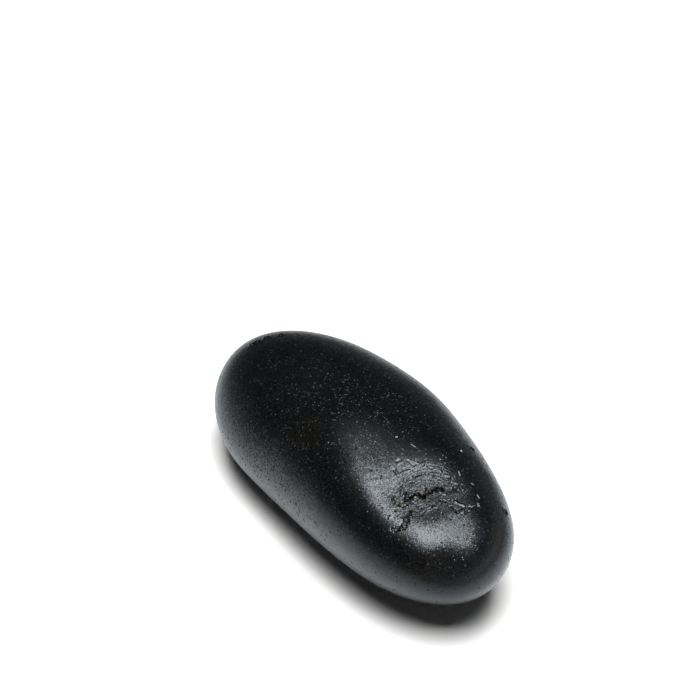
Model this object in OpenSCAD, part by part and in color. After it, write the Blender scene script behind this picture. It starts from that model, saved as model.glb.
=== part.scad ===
// Basalt massage stone: a tumbled black cobble with a crusted scar near one end.
// It rests on the worn flat of its keel at Z = 0. +X runs to the scarred near tip and +Y to the back.

/* [Stone] */
// length of the egg-shaped blank from tip to tip
stone_l = 115; // [95:1:130]
// width of the blank at its widest station
stone_w = 53; // [46:0.5:60]
// height of the crown above the mid line
crown_h = 21.2; // [18:0.1:24]
// depth of the keel below the mid line
keel_h = 18.8; // [16:0.1:22]
// thickness worn off the keel to leave the resting face
foot_wear = 0.5; // [0.3:0.1:1.2]
// sideways bow of the mid line at its middle
bow = 3.6; // [0:0.2:6]
// rise of the mid line from its middle to the near tip
rise = 3.1; // [0:0.1:5]

/* [Egg shape] */
// taper of the plan: below zero the far half is the wider one
plan_taper = -0.1; // [-0.2:0.01:0.2]
// fullness of the plan and the keel towards both tips
plan_fullness = 0.17; // [0:0.01:0.35]
// taper of the keel: above zero the near half is the deeper one
keel_taper = 0.13; // [-0.1:0.01:0.2]
// taper of the crown: below zero the far half is the higher one
crown_taper = -0.12; // [-0.2:0.01:0.2]
// fullness of the crown towards both tips
crown_fullness = 0.31; // [0:0.01:0.4]
// squareness of the cross sections
corner_fullness = 0.02; // [0:0.01:0.1]

/* [Wear] */
// swelling of the shoulder beside the near tip
near_shoulder_h = 1.1; // [0:0.1:1.4]
// hollow under the near tip
near_heel_d = 0.7; // [0:0.1:1]
// swelling of the front flank towards the far tip
far_flank_h = 1; // [0:0.1:1.2]
// swelling over the far tip
far_knob_h = 1; // [0:0.1:1.4]
// swelling along the back
back_shoulder_h = 0.7; // [0:0.1:1]
// spread of each swelling and hollow
wear_r = 10; // [8:0.5:14]

/* [Crown] */
// swelling of the front shoulder at the middle of the stone
shoulder_far_h = 1; // [0:0.1:1.4]
// swelling of the front shoulder behind the scar
shoulder_mid_h = 1.5; // [0:0.1:2]
// swelling of the front shoulder beside the scar
shoulder_scar_h = 2.1; // [0:0.1:2.6]
// swelling of the front shoulder towards the near tip
shoulder_near_h = 1.9; // [0:0.1:2.4]
// swelling of the crown behind the scar
ridge_h = 2.1; // [0:0.1:2.6]
// flat worn into the crown along the fissure
crown_flat_d = 2.2; // [0:0.1:2.6]
// flat worn into the crown in front of the fissure
apron_flat_d = 1.1; // [0:0.1:1.6]
// spread of the shoulder's swellings and of the crown's flats
shoulder_r = 8; // [6.5:0.5:10]
// flat worn on the front of the near tip
tip_flat_d = 1.7; // [0:0.1:2]
// hollow below the scar on the back
back_hollow_d = 0.4; // [0:0.1:0.8]
// knob above the scar on the back
back_knob_h = 0.7; // [0:0.1:1]

/* [Scar] */
// depth of the shallow hollow around the fissure
scar_d = 0.5; // [0:0.1:0.8]
// spread of that hollow and of the smaller flats and knobs near it
scar_r = 5; // [4:0.5:7]
// width of the open slit of the fissure
slit_w = 0.6; // [0.4:0.05:0.8]
// depth of the slit below the skin
slit_d = 1.1; // [0.8:0.1:1.6]
// thickness of the crust on each wall of the slit
crust_t = 0.45; // [0.3:0.05:0.6]
// thickness of the crust under the slit
crust_floor_t = 0.4; // [0.3:0.05:0.6]
// height of the crusts above the skin
crust_proud = 0.2; // [0.15:0.05:0.4]
// width of the hooked scab
hook_w = 1.1; // [0.8:0.1:1.4]
// depth of the hooked scab below the skin
hook_d = 0.7; // [0.5:0.1:1]
// width of the side scab
side_w = 0.9; // [0.7:0.1:1.2]
// depth of the side scab below the skin
side_d = 0.6; // [0.5:0.1:1]

/* [Crystals] */
// width of a feldspar lath
lath_w = 0.45; // [0.3:0.05:0.6]
// depth of a lath below the skin
lath_d = 0.5; // [0.3:0.1:0.8]
// height of the crystals above the skin
crystal_proud = 0.1; // [0.05:0.05:0.2]
// radius of a round feldspar grain
grain_r = 0.5; // [0.35:0.05:0.7]

/* [Mesh] */
// sections along the stone
station_count = 54; // [40:2:60]
// points round each section
turn_count = 72; // [56:4:80]

/* [Hidden] */
basalt = [0.05, 0.05, 0.055];
ochre = [0.25, 0.19, 0.11];
feldspar = [0.72, 0.72, 0.7];

// Places on the stone are [station, turn] in degrees: station 0 is the far tip and 180 the near tip,
// turn 0 the back, 90 the crown, 180 the front and 270 the keel.
fissure_route = [[122, 121.5], [124, 121], [126, 119], [125.5, 113], [125.5, 107.5], [126, 102],
    [127, 96], [127, 89.5], [129.5, 85.5], [130, 79.5], [129.5, 71.5]];
hook_route = [[128, 121.5], [130.5, 121.5], [133, 125.5], [133, 131], [132, 137], [130.5, 139.5]];
side_route = [[130, 94], [132, 92], [135, 88.5], [138.5, 85.5], [139.5, 79.5], [139.5, 72.5], [139, 65.5]];
crown_lath_ends = [[109.5, 88.5], [111.5, 87]];
upper_lath_ends = [[124, 69.5], [126, 70]];
right_lath_ends = [[129.5, 64], [130.5, 61.5]];
low_lath_ends = [[134.5, 63], [136.5, 62]];
crown_grain_place = [105.5, 93];
back_grain_place = [116, 58.5];

// The blank: an egg curve in plan, another over the crown, swept round a bowed and tilted mid line.
stations = [for (i = [0:1:station_count]) 180 * i / station_count];
turns = [for (j = [0:1:turn_count - 1]) 360 * j / turn_count];
plan_peak = max([for (t = stations) egg(t, plan_taper, plan_fullness)]);
keel_peak = max([for (t = stations) egg(t, keel_taper, plan_fullness)]);
crown_peak = max([for (t = stations) egg(t, crown_taper, crown_fullness)]);

// Swellings and hollows of the skin: station, turn, height and spread.
swells = [
    [145, 3, near_shoulder_h, wear_r],
    [150, 234, -near_heel_d, wear_r],
    [57.5, 198, far_flank_h, wear_r],
    [24, 112, far_knob_h, wear_r],
    [85, 30, back_shoulder_h, wear_r],
    [70, 141, shoulder_far_h, shoulder_r],
    [88, 141, shoulder_mid_h, shoulder_r],
    [106, 141, shoulder_scar_h, shoulder_r],
    [124, 141, shoulder_near_h, shoulder_r],
    [93, 110, ridge_h, shoulder_r],
    [124, 114, -crown_flat_d, shoulder_r],
    [136, 109, -apron_flat_d, shoulder_r],
    [158, 130, -tip_flat_d, scar_r],
    [133, 42, -back_hollow_d, scar_r],
    [114.5, 76, back_knob_h, scar_r],
    [126, 96, -scar_d, scar_r]
];
swell_heights = [for (s = swells) s[2]];
swell_places = [for (s = swells) section(s[0], s[1])];

function reach(t) = -cos(t);
function egg(t, taper, fullness) = sin(t) * (1 + taper * reach(t) + fullness * reach(t) * reach(t));
function plan(t) = egg(t, plan_taper, plan_fullness) / plan_peak;
function crown(t) = crown_h * egg(t, crown_taper, crown_fullness) / crown_peak;
function keel(t) = keel_h * egg(t, keel_taper, plan_fullness) / keel_peak;
function section_h(t, v) = (crown(t) + keel(t)) / 2 + (crown(t) - keel(t)) / 2 * sin(v);
function section(t, v) = [
    stone_l / 2 * reach(t),
    bow * sin(t) * sin(t) + stone_w / 2 * plan(t) * cos(v) * (1 + corner_fullness * sin(v) * sin(v)),
    rise * reach(t) + section_h(t, v) * sin(v) * (1 + corner_fullness * cos(v) * cos(v))
];

// The skin: the blank moved along its outward normal by the swells and by a height h.
nudge = 0.5;
function unit(a) = a / norm(a);
function outward(t, v) = unit(cross(
    section(t, v + nudge) - section(t, v - nudge),
    section(t + nudge, v) - section(t - nudge, v)));
function lift(p) = swell_heights
    * [for (i = [0:1:len(swells) - 1]) exp(-pow(norm(p - swell_places[i]) / swells[i][3], 2) / 2)];
function raw_skin(t, v, h) = section(t, v) + (lift(section(t, v)) + h) * outward(t, v);

// The row frame: centred on the stone's own box, with the worn foot at Z = 0.
far_tip = section(0, 0) - [lift(section(0, 0)), 0, 0];
near_tip = section(180, 0) + [lift(section(180, 0)), 0, 0];
inner_stations = [for (i = [1:1:station_count - 1]) stations[i]];
rings = [for (t = inner_stations) for (v = turns) raw_skin(t, v, 0)];
ring_y = [for (p = rings) p[1]];
frame_zero = [(far_tip[0] + near_tip[0]) / 2, (min(ring_y) + max(ring_y)) / 2,
    min([for (p = rings) p[2]]) + foot_wear];
function skin(t, v, h) = raw_skin(t, v, h) - frame_zero;
function at(place, h) = skin(place[0], place[1], h);
function out_of(place) = outward(place[0], place[1]);

// Closed skin of the whole stone, its rings joined by triangles between the two tips.
module blank() {
    last = len(rings);
    ring_starts = [for (i = [0:1:station_count - 3]) i * turn_count];
    points = concat([for (p = rings) p - frame_zero], [far_tip - frame_zero, near_tip - frame_zero]);
    faces = concat(
        [for (j = [0:1:turn_count - 1]) [last, j, (j + 1) % turn_count]],
        [for (a = ring_starts) for (j = [0:1:turn_count - 1])
            [a + j, a + turn_count + (j + 1) % turn_count, a + (j + 1) % turn_count]],
        [for (a = ring_starts) for (j = [0:1:turn_count - 1])
            [a + j, a + turn_count + j, a + turn_count + (j + 1) % turn_count]],
        [for (j = [0:1:turn_count - 1])
            [last + 1, last - turn_count + (j + 1) % turn_count, last - turn_count + j]]);
    polyhedron(points, faces);
}

// A ribbon let into the skin along a route, narrowing to both of its ends.
end_share = 0.5;
function narrowing(i, n) = end_share + (1 - end_share) * sin(180 * i / (n - 1));
function side_of(route, i) = unit(cross(out_of(route[i]),
    at(route[min(i + 1, len(route) - 1)], 0) - at(route[max(i - 1, 0)], 0)));
function corners(route, i, w, top, depth) = let (
        half = side_of(route, i) * w / 2 * narrowing(i, len(route)))
    [at(route[i], top) - half, at(route[i], top) + half,
        at(route[i], -depth) + half, at(route[i], -depth) - half];

module ribbon(route, w, top, depth) {
    n = len(route);
    points = [for (i = [0:1:n - 1]) each corners(route, i, w, top, depth)];
    walls = [for (i = [0:1:n - 2]) for (k = [0:1:3]) each [
        [4 * i + k, 4 * i + (k + 1) % 4, 4 * i + 4 + k],
        [4 * i + (k + 1) % 4, 4 * i + 4 + (k + 1) % 4, 4 * i + 4 + k]]];
    polyhedron(points, concat([[0, 2, 1], [0, 3, 2]], walls,
        [[4 * n - 4, 4 * n - 3, 4 * n - 2], [4 * n - 4, 4 * n - 2, 4 * n - 1]]));
}

// The fissure's crust with its slit still full, and the slit, which stops short of the crust's ends.
module fissure_blank() {
    ribbon(fissure_route, slit_w + 2 * crust_t, crust_proud, slit_d + crust_floor_t);
}

module fissure_slit() {
    ribbon([for (i = [1:1:len(fissure_route) - 2]) fissure_route[i]], slit_w, 2 * crust_proud, slit_d);
}

module hook_blank() {
    ribbon(hook_route, hook_w, crust_proud, hook_d);
}

module side_blank() {
    ribbon(side_route, side_w, crust_proud, side_d);
}

// A lath: a small bar of feldspar lying in the skin from one end place to the other.
module lath(ends) {
    a = at(ends[0], 0);
    b = at(ends[1], 0);
    along = unit(b - a);
    up = unit(out_of(ends[0]) - along * (out_of(ends[0]) * along));
    across = cross(up, along);
    multmatrix([
        [along[0], across[0], up[0], a[0]],
        [along[1], across[1], up[1], a[1]],
        [along[2], across[2], up[2], a[2]],
        [0, 0, 0, 1]])
        translate([0, -lath_w / 2, -lath_d])
            cube([norm(b - a), lath_w, lath_d + crystal_proud]);
}

// A round grain, sunk until only a low cap stands above the skin.
module grain(place) {
    translate(at(place, crystal_proud - grain_r))
        sphere(r = grain_r, $fn = 24);
}

module stone_body() {
    color(basalt)
        difference() {
            intersection() {
                blank();
                translate([-stone_l, -stone_w, 0])
                    cube([2 * stone_l, 2 * stone_w, 2 * (crown_h + keel_h)]);
            }
            fissure_blank();
            hook_blank();
            side_blank();
            lath(crown_lath_ends);
            lath(upper_lath_ends);
            lath(right_lath_ends);
            lath(low_lath_ends);
            grain(crown_grain_place);
            grain(back_grain_place);
        }
}

module fissure_crust() {
    color(ochre)
        difference() {
            fissure_blank();
            fissure_slit();
        }
}

module hook_crust() {
    color(ochre)
        hook_blank();
}

module side_crust() {
    color(ochre)
        side_blank();
}

module crown_lath() {
    color(feldspar)
        lath(crown_lath_ends);
}

module upper_lath() {
    color(feldspar)
        lath(upper_lath_ends);
}

module right_lath() {
    color(feldspar)
        lath(right_lath_ends);
}

module low_lath() {
    color(feldspar)
        lath(low_lath_ends);
}

module crown_grain() {
    color(feldspar)
        grain(crown_grain_place);
}

module back_grain() {
    color(feldspar)
        grain(back_grain_place);
}

stone_body();
fissure_crust();
hook_crust();
side_crust();
crown_lath();
upper_lath();
right_lath();
low_lath();
crown_grain();
back_grain();
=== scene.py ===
# %% [markdown]
# # A tumbled basalt massage stone
# The object is one black basalt cobble, worn to an egg by water and tumbling, with a crusted scar near
# one end. Its solid comes packed from CAD, and this script dresses it: a finely carved skin, the ochre
# crusts, the pale crystals, and the plain white table and soft light it was photographed in.

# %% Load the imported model
import math

import bpy
import numpy as np
from mathutils import Matrix
from mathutils.kdtree import KDTree


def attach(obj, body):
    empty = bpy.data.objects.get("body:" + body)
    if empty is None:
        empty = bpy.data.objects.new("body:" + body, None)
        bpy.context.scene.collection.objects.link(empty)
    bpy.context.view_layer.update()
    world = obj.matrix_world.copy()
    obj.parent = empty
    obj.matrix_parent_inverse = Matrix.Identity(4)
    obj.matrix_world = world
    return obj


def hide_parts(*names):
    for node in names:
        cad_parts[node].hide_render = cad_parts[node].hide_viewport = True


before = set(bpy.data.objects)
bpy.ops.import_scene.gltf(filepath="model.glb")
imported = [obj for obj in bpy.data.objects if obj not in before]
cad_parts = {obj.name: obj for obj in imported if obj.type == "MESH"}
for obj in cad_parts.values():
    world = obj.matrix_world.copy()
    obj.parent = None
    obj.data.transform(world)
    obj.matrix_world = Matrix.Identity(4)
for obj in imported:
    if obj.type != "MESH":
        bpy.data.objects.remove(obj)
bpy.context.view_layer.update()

MM = 0.001

# %% [markdown]
# ## The skin as a formula
# A tumbled pebble has no flat and no edge to measure, so a skin sculpted by hand would never meet the CAD
# solid. The CAD sweeps an egg curve round a bowed mid line; the same formula is repeated here, in
# millimetres, so that the fine skin lies on the solid everywhere. A place on the stone is a pair of
# angles: the station, 0 at the far tip and 180 at the near one, and the turn, 90 at the crown.

# %% The blank
STONE_L, STONE_W = 115.0, 53.0
CROWN_H, KEEL_H = 21.2, 18.8
FOOT_WEAR, BOW, RISE = 0.5, 3.6, 3.1
PLAN_TAPER, KEEL_TAPER, CROWN_TAPER = -0.10, 0.13, -0.12
PLAN_FULLNESS, CROWN_FULLNESS, CORNER_FULLNESS = 0.17, 0.31, 0.02
ALL_STATIONS = np.radians(np.linspace(0, 180, 541))


def egg(t, taper, fullness):
    """Reach of an egg curve at station t; taper leans it to one end and fullness blunts both ends."""
    reach = -np.cos(t)
    return np.sin(t) * (1 + taper * reach + fullness * reach**2)


PLAN_PEAK = egg(ALL_STATIONS, PLAN_TAPER, PLAN_FULLNESS).max()
KEEL_PEAK = egg(ALL_STATIONS, KEEL_TAPER, PLAN_FULLNESS).max()
CROWN_PEAK = egg(ALL_STATIONS, CROWN_TAPER, CROWN_FULLNESS).max()


def section(t, v):
    """Points of the plain blank, in mm, at stations t and turns v in radians."""
    half_w = STONE_W / 2 * egg(t, PLAN_TAPER, PLAN_FULLNESS) / PLAN_PEAK
    crown = CROWN_H * egg(t, CROWN_TAPER, CROWN_FULLNESS) / CROWN_PEAK
    keel = KEEL_H * egg(t, KEEL_TAPER, PLAN_FULLNESS) / KEEL_PEAK
    c, s = np.cos(v), np.sin(v)
    half_h = (crown + keel) / 2 + (crown - keel) / 2 * s
    x = -STONE_L / 2 * np.cos(t) + 0 * v
    y = BOW * np.sin(t) ** 2 + half_w * c * (1 + CORNER_FULLNESS * s**2)
    z = -RISE * np.cos(t) + half_h * s * (1 + CORNER_FULLNESS * c**2)
    return np.stack([x, y, z], -1)


print("Blank in mm:", STONE_L, "long,", STONE_W, "wide,", CROWN_H + KEEL_H, "high")

# %% [markdown]
# ## Swells, hollows and the part's frame
# No pebble is a perfect egg: this one has a raised shoulder, a flattened crown and a dip round the scar.
# Each is a soft bump along the skin's normal, the same list as in the CAD, which is easier to correct
# than a sculpted mesh. The origin then moves to the middle of the stone's box, at its worn foot.

# %% Swells on the blank
WEAR_R, SHOULDER_R, SCAR_R = 10.0, 8.0, 5.0
# Each swell: station and turn in degrees, height in mm (below zero it is a hollow) and spread in mm.
SWELLS = [
    (145, 3, 1.1, WEAR_R),
    (150, 234, -0.7, WEAR_R),
    (57.5, 198, 1.0, WEAR_R),
    (24, 112, 1.0, WEAR_R),
    (85, 30, 0.7, WEAR_R),
    (70, 141, 1.0, SHOULDER_R),
    (88, 141, 1.5, SHOULDER_R),
    (106, 141, 2.1, SHOULDER_R),
    (124, 141, 1.9, SHOULDER_R),
    (93, 110, 2.1, SHOULDER_R),
    (124, 114, -2.2, SHOULDER_R),
    (136, 109, -1.1, SHOULDER_R),
    (158, 130, -1.7, SCAR_R),
    (133, 42, -0.4, SCAR_R),
    (114.5, 76, 0.7, SCAR_R),
    (126, 96, -0.5, SCAR_R),
]
NUDGE = math.radians(0.5)


def unit(a):
    return a / np.linalg.norm(a, axis=-1, keepdims=True)


def outward(t, v):
    """The blank's outward normal, from the slopes a small nudge to each side."""
    t = np.clip(t, NUDGE, math.pi - NUDGE)
    around = section(t, v + NUDGE) - section(t, v - NUDGE)
    along = section(np.minimum(t + NUDGE, math.pi), v) - section(np.maximum(t - NUDGE, 0), v)
    return unit(np.cross(around, along))


def lift(p):
    total = np.zeros(p.shape[:-1])
    for station, turn, height, spread in SWELLS:
        centre = section(np.radians(station), np.radians(turn))
        total += height * np.exp(-((p - centre) ** 2).sum(-1) / (2 * spread**2))
    return total


def raw_skin(t, v):
    p = section(t, v)
    return p + lift(p)[..., None] * outward(t, v)


print("Swells:", len(SWELLS))

# %% The part's frame
RING_STATIONS = np.radians(np.linspace(0.5, 179.5, 180))
RING_TURNS = np.radians(np.arange(0, 360, 2))
ring_t, ring_v = np.meshgrid(RING_STATIONS, RING_TURNS, indexing="ij")
rings = raw_skin(ring_t, ring_v)
FRAME_ZERO = (rings.min((0, 1)) + rings.max((0, 1))) / 2
FRAME_ZERO[2] = rings[..., 2].min() + FOOT_WEAR


def skin(t, v):
    """Points of the smooth stone, in mm in the part's frame."""
    return raw_skin(t, v) - FRAME_ZERO


def skin_at(station, turn):
    """One point of the smooth stone, from a station and a turn in degrees."""
    return skin(np.radians(station), np.radians(turn))


print("Formula box in mm:", (rings.max((0, 1)) - rings.min((0, 1))).round(1), "foot at", FOOT_WEAR)

# %% [markdown]
# ## Noise in real millimetres
# Wear leaves soft waves, and broken rock leaves crumbs. Blender's own textures could give both to a
# modifier, but not to the points worked out here. One small lattice noise with a cell size in millimetres
# serves all of them, and is the same on every run.

# %% Lattice noise
HASH_X, HASH_Y, HASH_Z = np.uint64(73856093), np.uint64(19349663), np.uint64(83492791)
HASH_MIX, SEED_STEP = np.uint64(1274126177), 7919
HASH_TOP, HASH_MIDDLE = np.uint64(0xFFFFFF), 0x7FFFFF
# Far enough from zero that every lattice corner of the stone has a positive number.
LATTICE_SHIFT = 1000.0


def lattice(ijk, seed):
    """A fixed random number between -1 and 1 for each corner of the lattice."""
    i, j, k = (ijk[..., n].astype(np.uint64) for n in range(3))
    h = (i * HASH_X ^ j * HASH_Y ^ k * HASH_Z) + np.uint64(seed * SEED_STEP)
    h = (h ^ (h >> np.uint64(13))) * HASH_MIX
    h = (h ^ (h >> np.uint64(16))) & HASH_TOP
    return h.astype(np.float64) / HASH_MIDDLE - 1.0


def noise(p, cell, seed):
    """Smooth noise between -1 and 1 at points p in mm, one bump per cell."""
    q = p / cell + LATTICE_SHIFT
    low = np.floor(q)
    f = q - low
    f = f * f * (3 - 2 * f)
    low = low.astype(np.int64)
    total = np.zeros(p.shape[:-1])
    for corner in np.ndindex(2, 2, 2):
        weight = np.where(corner, f, 1 - f).prod(-1)
        total += weight * lattice(low + np.array(corner), seed)
    return total


sample = noise(rings, 5.0, 1)
print("Noise over the stone, lowest and highest:", sample.min().round(2), sample.max().round(2))

# %% Crumbs
CRUMB_STRAY, CRUMB_MEAN, CRUMB_SWING, CRUMB_REACH = 0.4, 0.6, 0.4, 0.9


def crumbs(p, cell, seed):
    """Rounded crumbs between 0 and 1 at points p in mm, one of its own height in each cell."""
    q = p / cell + LATTICE_SHIFT
    low = np.floor(q)
    nearest = np.full(p.shape[:-1], np.inf)
    height = np.zeros(p.shape[:-1])
    for step in np.ndindex(3, 3, 3):
        corner = low + np.array(step) - 1
        grid = corner.astype(np.int64)
        stray = np.stack([lattice(grid, seed + n) for n in range(3)], -1)
        far = ((q - corner - 0.5 - CRUMB_STRAY * stray) ** 2).sum(-1)
        closer = far < nearest
        nearest = np.where(closer, far, nearest)
        height = np.where(closer, CRUMB_MEAN + CRUMB_SWING * lattice(grid, seed + 3), height)
    return height * np.sqrt(np.clip(1 - nearest / CRUMB_REACH, 0, 1))


print("Crumbs' mean height over the stone:", crumbs(rings, 0.5, 15).mean().round(2))

# %% [markdown]
# ## The scar's own plane
# The scar is nearly flat, so it is easiest to draw on a plane of its own: a runs along the fissure and b
# up the stone, both in millimetres from the middle of the fissure. Unwrapping the mesh would give such a
# plane too, but not the stations and turns that the CAD counts in. A short Newton search finds those for
# a drawn point.

# %% Scar coordinates
SCAR_STATION, SCAR_TURN = math.radians(126), math.radians(99.5)
FISSURE_HEADING = np.array([0.32, 0.94, 0.07])
SEARCHES, SEARCH_STEP = 6, math.radians(0.05)
scar_o = skin(np.array(SCAR_STATION), np.array(SCAR_TURN))
scar_n = outward(np.array(SCAR_STATION), np.array(SCAR_TURN))
scar_a = unit(FISSURE_HEADING - scar_n * (FISSURE_HEADING @ scar_n))
scar_b = np.cross(scar_n, scar_a)


def to_scar(p):
    q = p - scar_o
    return np.stack([q @ scar_a, q @ scar_b], -1)


def from_scar(ab):
    """Station and turn of points drawn on the scar's plane."""
    t = np.full(ab.shape[:-1], SCAR_STATION)
    v = np.full(ab.shape[:-1], SCAR_TURN)
    for _ in range(SEARCHES):
        here = to_scar(skin(t, v))
        dt = (to_scar(skin(t + SEARCH_STEP, v)) - here) / SEARCH_STEP
        dv = (to_scar(skin(t, v + SEARCH_STEP)) - here) / SEARCH_STEP
        miss = ab - here
        det = dt[..., 0] * dv[..., 1] - dt[..., 1] * dv[..., 0]
        t = t + (miss[..., 0] * dv[..., 1] - miss[..., 1] * dv[..., 0]) / det
        v = v + (miss[..., 1] * dt[..., 0] - miss[..., 0] * dt[..., 1]) / det
    return t, v


print("Middle of the scar in mm:", scar_o.round(1), "facing", scar_n.round(2))

# %% [markdown]
# ## The lines of the scar
# A crack runs across the scar, two scabs hang below it, and the rock above it broke in curved steps. A
# brush could sculpt them; here each line that can be told apart is drawn as a few points on the scar's
# plane. So the crack stays within 0.6 mm of the CAD's, and one line can be corrected alone.

# %% Strokes
FISSURE = [(-8.1, 0.8), (-8.4, 0.2), (-8.1, -0.6), (-7.5, -1.3), (-6.9, -2.1), (-6.1, -2.6), (-5.2, -2.2),
           (-4.5, -1.2), (-3.4, -0.3), (-2.5, 0.0), (-1.5, 0.0), (-0.9, -0.7), (-0.2, -0.9), (0.7, -0.5),
           (1.6, -0.2), (2.4, 0.0), (3.3, 0.2), (3.9, 0.3), (4.5, -0.1), (4.9, -1.0), (5.5, -1.7),
           (6.3, -1.5), (7.1, -1.1), (8.1, -1.0), (8.9, -0.4), (9.7, 0.2)]
HOOK = [(-4.6, -4.4), (-5.0, -5.3), (-5.9, -5.6), (-5.8, -6.5), (-5.9, -7.5), (-6.5, -8.5), (-7.3, -8.9),
        (-8.2, -8.6), (-9.1, -8.7), (-9.9, -8.8), (-10.5, -8.1)]
SIDE = [(2.6, -2.4), (3.1, -3.1), (4.0, -3.5), (4.6, -4.6), (5.2, -6.0), (5.7, -7.1), (6.4, -8.1),
        (7.3, -8.0), (8.3, -7.9), (9.1, -7.5), (10.3, -7.1), (11.4, -6.5), (12.3, -6.2), (12.5, -6.9)]
# Each stroke: width and height in mm (below zero it is cut in) and its points (a, b).
STROKES = [
    (0.24, 0.22, [(3.8, 6.0), (4.6, 5.9), (5.2, 5.4), (5.7, 4.7), (5.8, 4.0), (6.5, 3.6), (7.2, 3.3),
                  (7.6, 2.6), (7.7, 1.7), (8.2, 1.0), (8.9, 0.6), (9.6, 0.3)]),
    (0.22, -0.15, [(-5.3, 4.3), (-4.4, 5.2), (-3.2, 5.8), (-2.4, 6.2)]),
    (0.25, -0.24, [(-5.0, 3.3), (-4.0, 3.9), (-3.1, 4.5), (-1.9, 4.8), (-0.8, 5.0), (0.2, 5.1), (1.3, 5.0),
                   (2.1, 5.1)]),
    (0.22, -0.18, [(-5.5, 2.0), (-4.8, 2.6), (-3.9, 3.2), (-3.0, 3.6), (-2.0, 3.6)]),
    (0.20, 0.08, [(-4.4, 6.9), (-3.7, 7.1), (-2.9, 7.2), (-1.8, 7.4)]),
    (0.18, 0.04, [(-2.5, 11.0), (-1.5, 10.5), (-0.6, 9.8), (0.2, 9.0), (1.1, 8.4)]),
    (0.22, -0.10, [(-1.7, 10.1), (-1.1, 9.3), (-0.5, 8.3)]),
    (0.24, 0.20, [(-4.1, 1.7), (-4.8, 1.1), (-5.3, 0.3), (-5.6, -0.9)]),
    (0.22, 0.16, [(-4.0, 0.3), (-4.3, -1.0)]),
    (0.30, -0.40, [(-4.4, 0.9), (-4.8, 0.0), (-5.0, -1.2)]),
    (0.26, 0.14, [(0.7, -1.4), (1.9, -1.1), (2.9, -1.2), (3.9, -1.3), (4.8, -1.9)]),
    (0.28, 0.20, [(6.8, -5.1), (7.5, -5.7), (8.2, -6.2), (8.9, -6.9)]),
    (0.26, 0.18, [(7.2, -8.5), (8.1, -8.4), (9.1, -8.0)]),
    (0.22, 0.20, [(-6.2, -6.8), (-6.4, -7.7), (-7.0, -8.3), (-7.7, -8.3), (-8.3, -8.2)]),
    (0.24, 0.18, [(-7.1, -5.9), (-6.3, -6.1)]),
    (0.30, -0.30, [(-6.8, -6.8), (-7.0, -7.6), (-7.8, -7.7)]),
    (0.22, -0.08, [(-1.4, -5.7), (-0.5, -5.3), (0.3, -5.1)]),
    (0.24, -0.07, [(-3.2, -2.5), (-2.4, -3.4), (-1.3, -3.4), (-0.3, -3.6)]),
    (0.24, -0.08, [(-3.3, -4.9), (-2.6, -5.4)]),
    (0.26, -0.20, [(-5.8, 8.2), (-5.4, 7.2)]),
    (0.24, -0.16, [(-4.5, 10.5), (-3.7, 10.8)]),
    (0.26, 0.16, [(3.7, 4.2), (4.4, 3.4)]),
    (0.26, 0.18, [(0.9, 1.9), (1.4, 1.2)]),
    (0.24, 0.14, [(1.2, -5.1), (1.9, -5.2)]),
    (0.24, 0.14, [(0.9, 8.3), (1.6, 8.4)]),
    (0.24, 0.14, [(2.2, 8.5), (2.5, 7.7)]),
    (0.24, -0.30, [(0.7, 1.1), (0.6, 0.5)]),
    (0.35, -0.12, [(-8.2, -3.4), (-8.1, -3.3)]),
    (0.30, -0.16, [(-10.5, -4.6), (-10.4, -4.5)]),
]


def stroke_distance(ab, line):
    """Distance in mm from each point of the scar's plane to a line through a stroke's points."""
    best = np.full(ab.shape[:-1], np.inf)
    for start, end in zip(np.array(line[:-1]), np.array(line[1:])):
        run = end - start
        share = np.clip(((ab - start) @ run) / (run @ run), 0, 1)
        best = np.minimum(best, np.linalg.norm(ab - start - share[..., None] * run, axis=-1))
    return best


print("Lines of the scar:", len(STROKES) + len((FISSURE, HOOK, SIDE)))

# %% [markdown]
# ## A grid that is finest over the scar
# The scar needs points about every 0.12 mm, the plain skin far fewer. A subdivided sphere would be as fine
# everywhere and far too heavy. The grid of stations and turns is instead set close over the scar and
# wide elsewhere. Each of its points will move along its own normal by a depth in millimetres.

# %% The fine grid
# For stations and for turns, in degrees: end, wide step, close step, middle of the close part, its half.
STATION_GRADE = (180, 0.55, 0.15, 127, 14)
TURN_GRADE = (360, 0.85, 0.28, 98, 42)


def graded(end, wide, close, centre, half_span):
    """Angles in degrees from 0 to end, close together round centre."""
    angles = [0.0]
    while angles[-1] < end:
        near = math.exp(-(((angles[-1] - centre) / half_span) ** 4))
        angles.append(angles[-1] + wide + (close - wide) * near)
    return np.array(angles) * end / angles[-1]


stations = np.radians(graded(*STATION_GRADE)[1:-1])
turns = np.radians(graded(*TURN_GRADE)[:-1])
grid_t, grid_v = np.meshgrid(stations, turns, indexing="ij")
skin_p = skin(grid_t, grid_v)
skin_n = outward(grid_t, grid_v)
print("Skin grid:", grid_t.shape, "points:", grid_t.size)

# %% [markdown]
# ## Waves of wear
# The skin feels smooth, but it is never quite even, and the highlights show it. A displacement modifier
# could wave the mesh; three noises added up are as short, and their heights are plain millimetres.

# %% Waves
# Each wave: height and cell in mm, and a seed.
WAVES = ((0.06, 13.0, 1), (0.02, 5.0, 2), (0.008, 2.0, 3))
depth = sum(height * noise(skin_p, cell, seed) for height, cell, seed in WAVES)
print("Waves in mm, lowest and highest:", depth.min().round(2), depth.max().round(2))

# %% [markdown]
# ## Carving the scar
# In the scar the polish is broken, and every line has a lit and a dark slope. Bump in a material would
# show that from the front only, so the lines are true relief: the skin rises or sinks by a bell curve
# across each line, and by a lesser bell the other way beside it.

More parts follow.
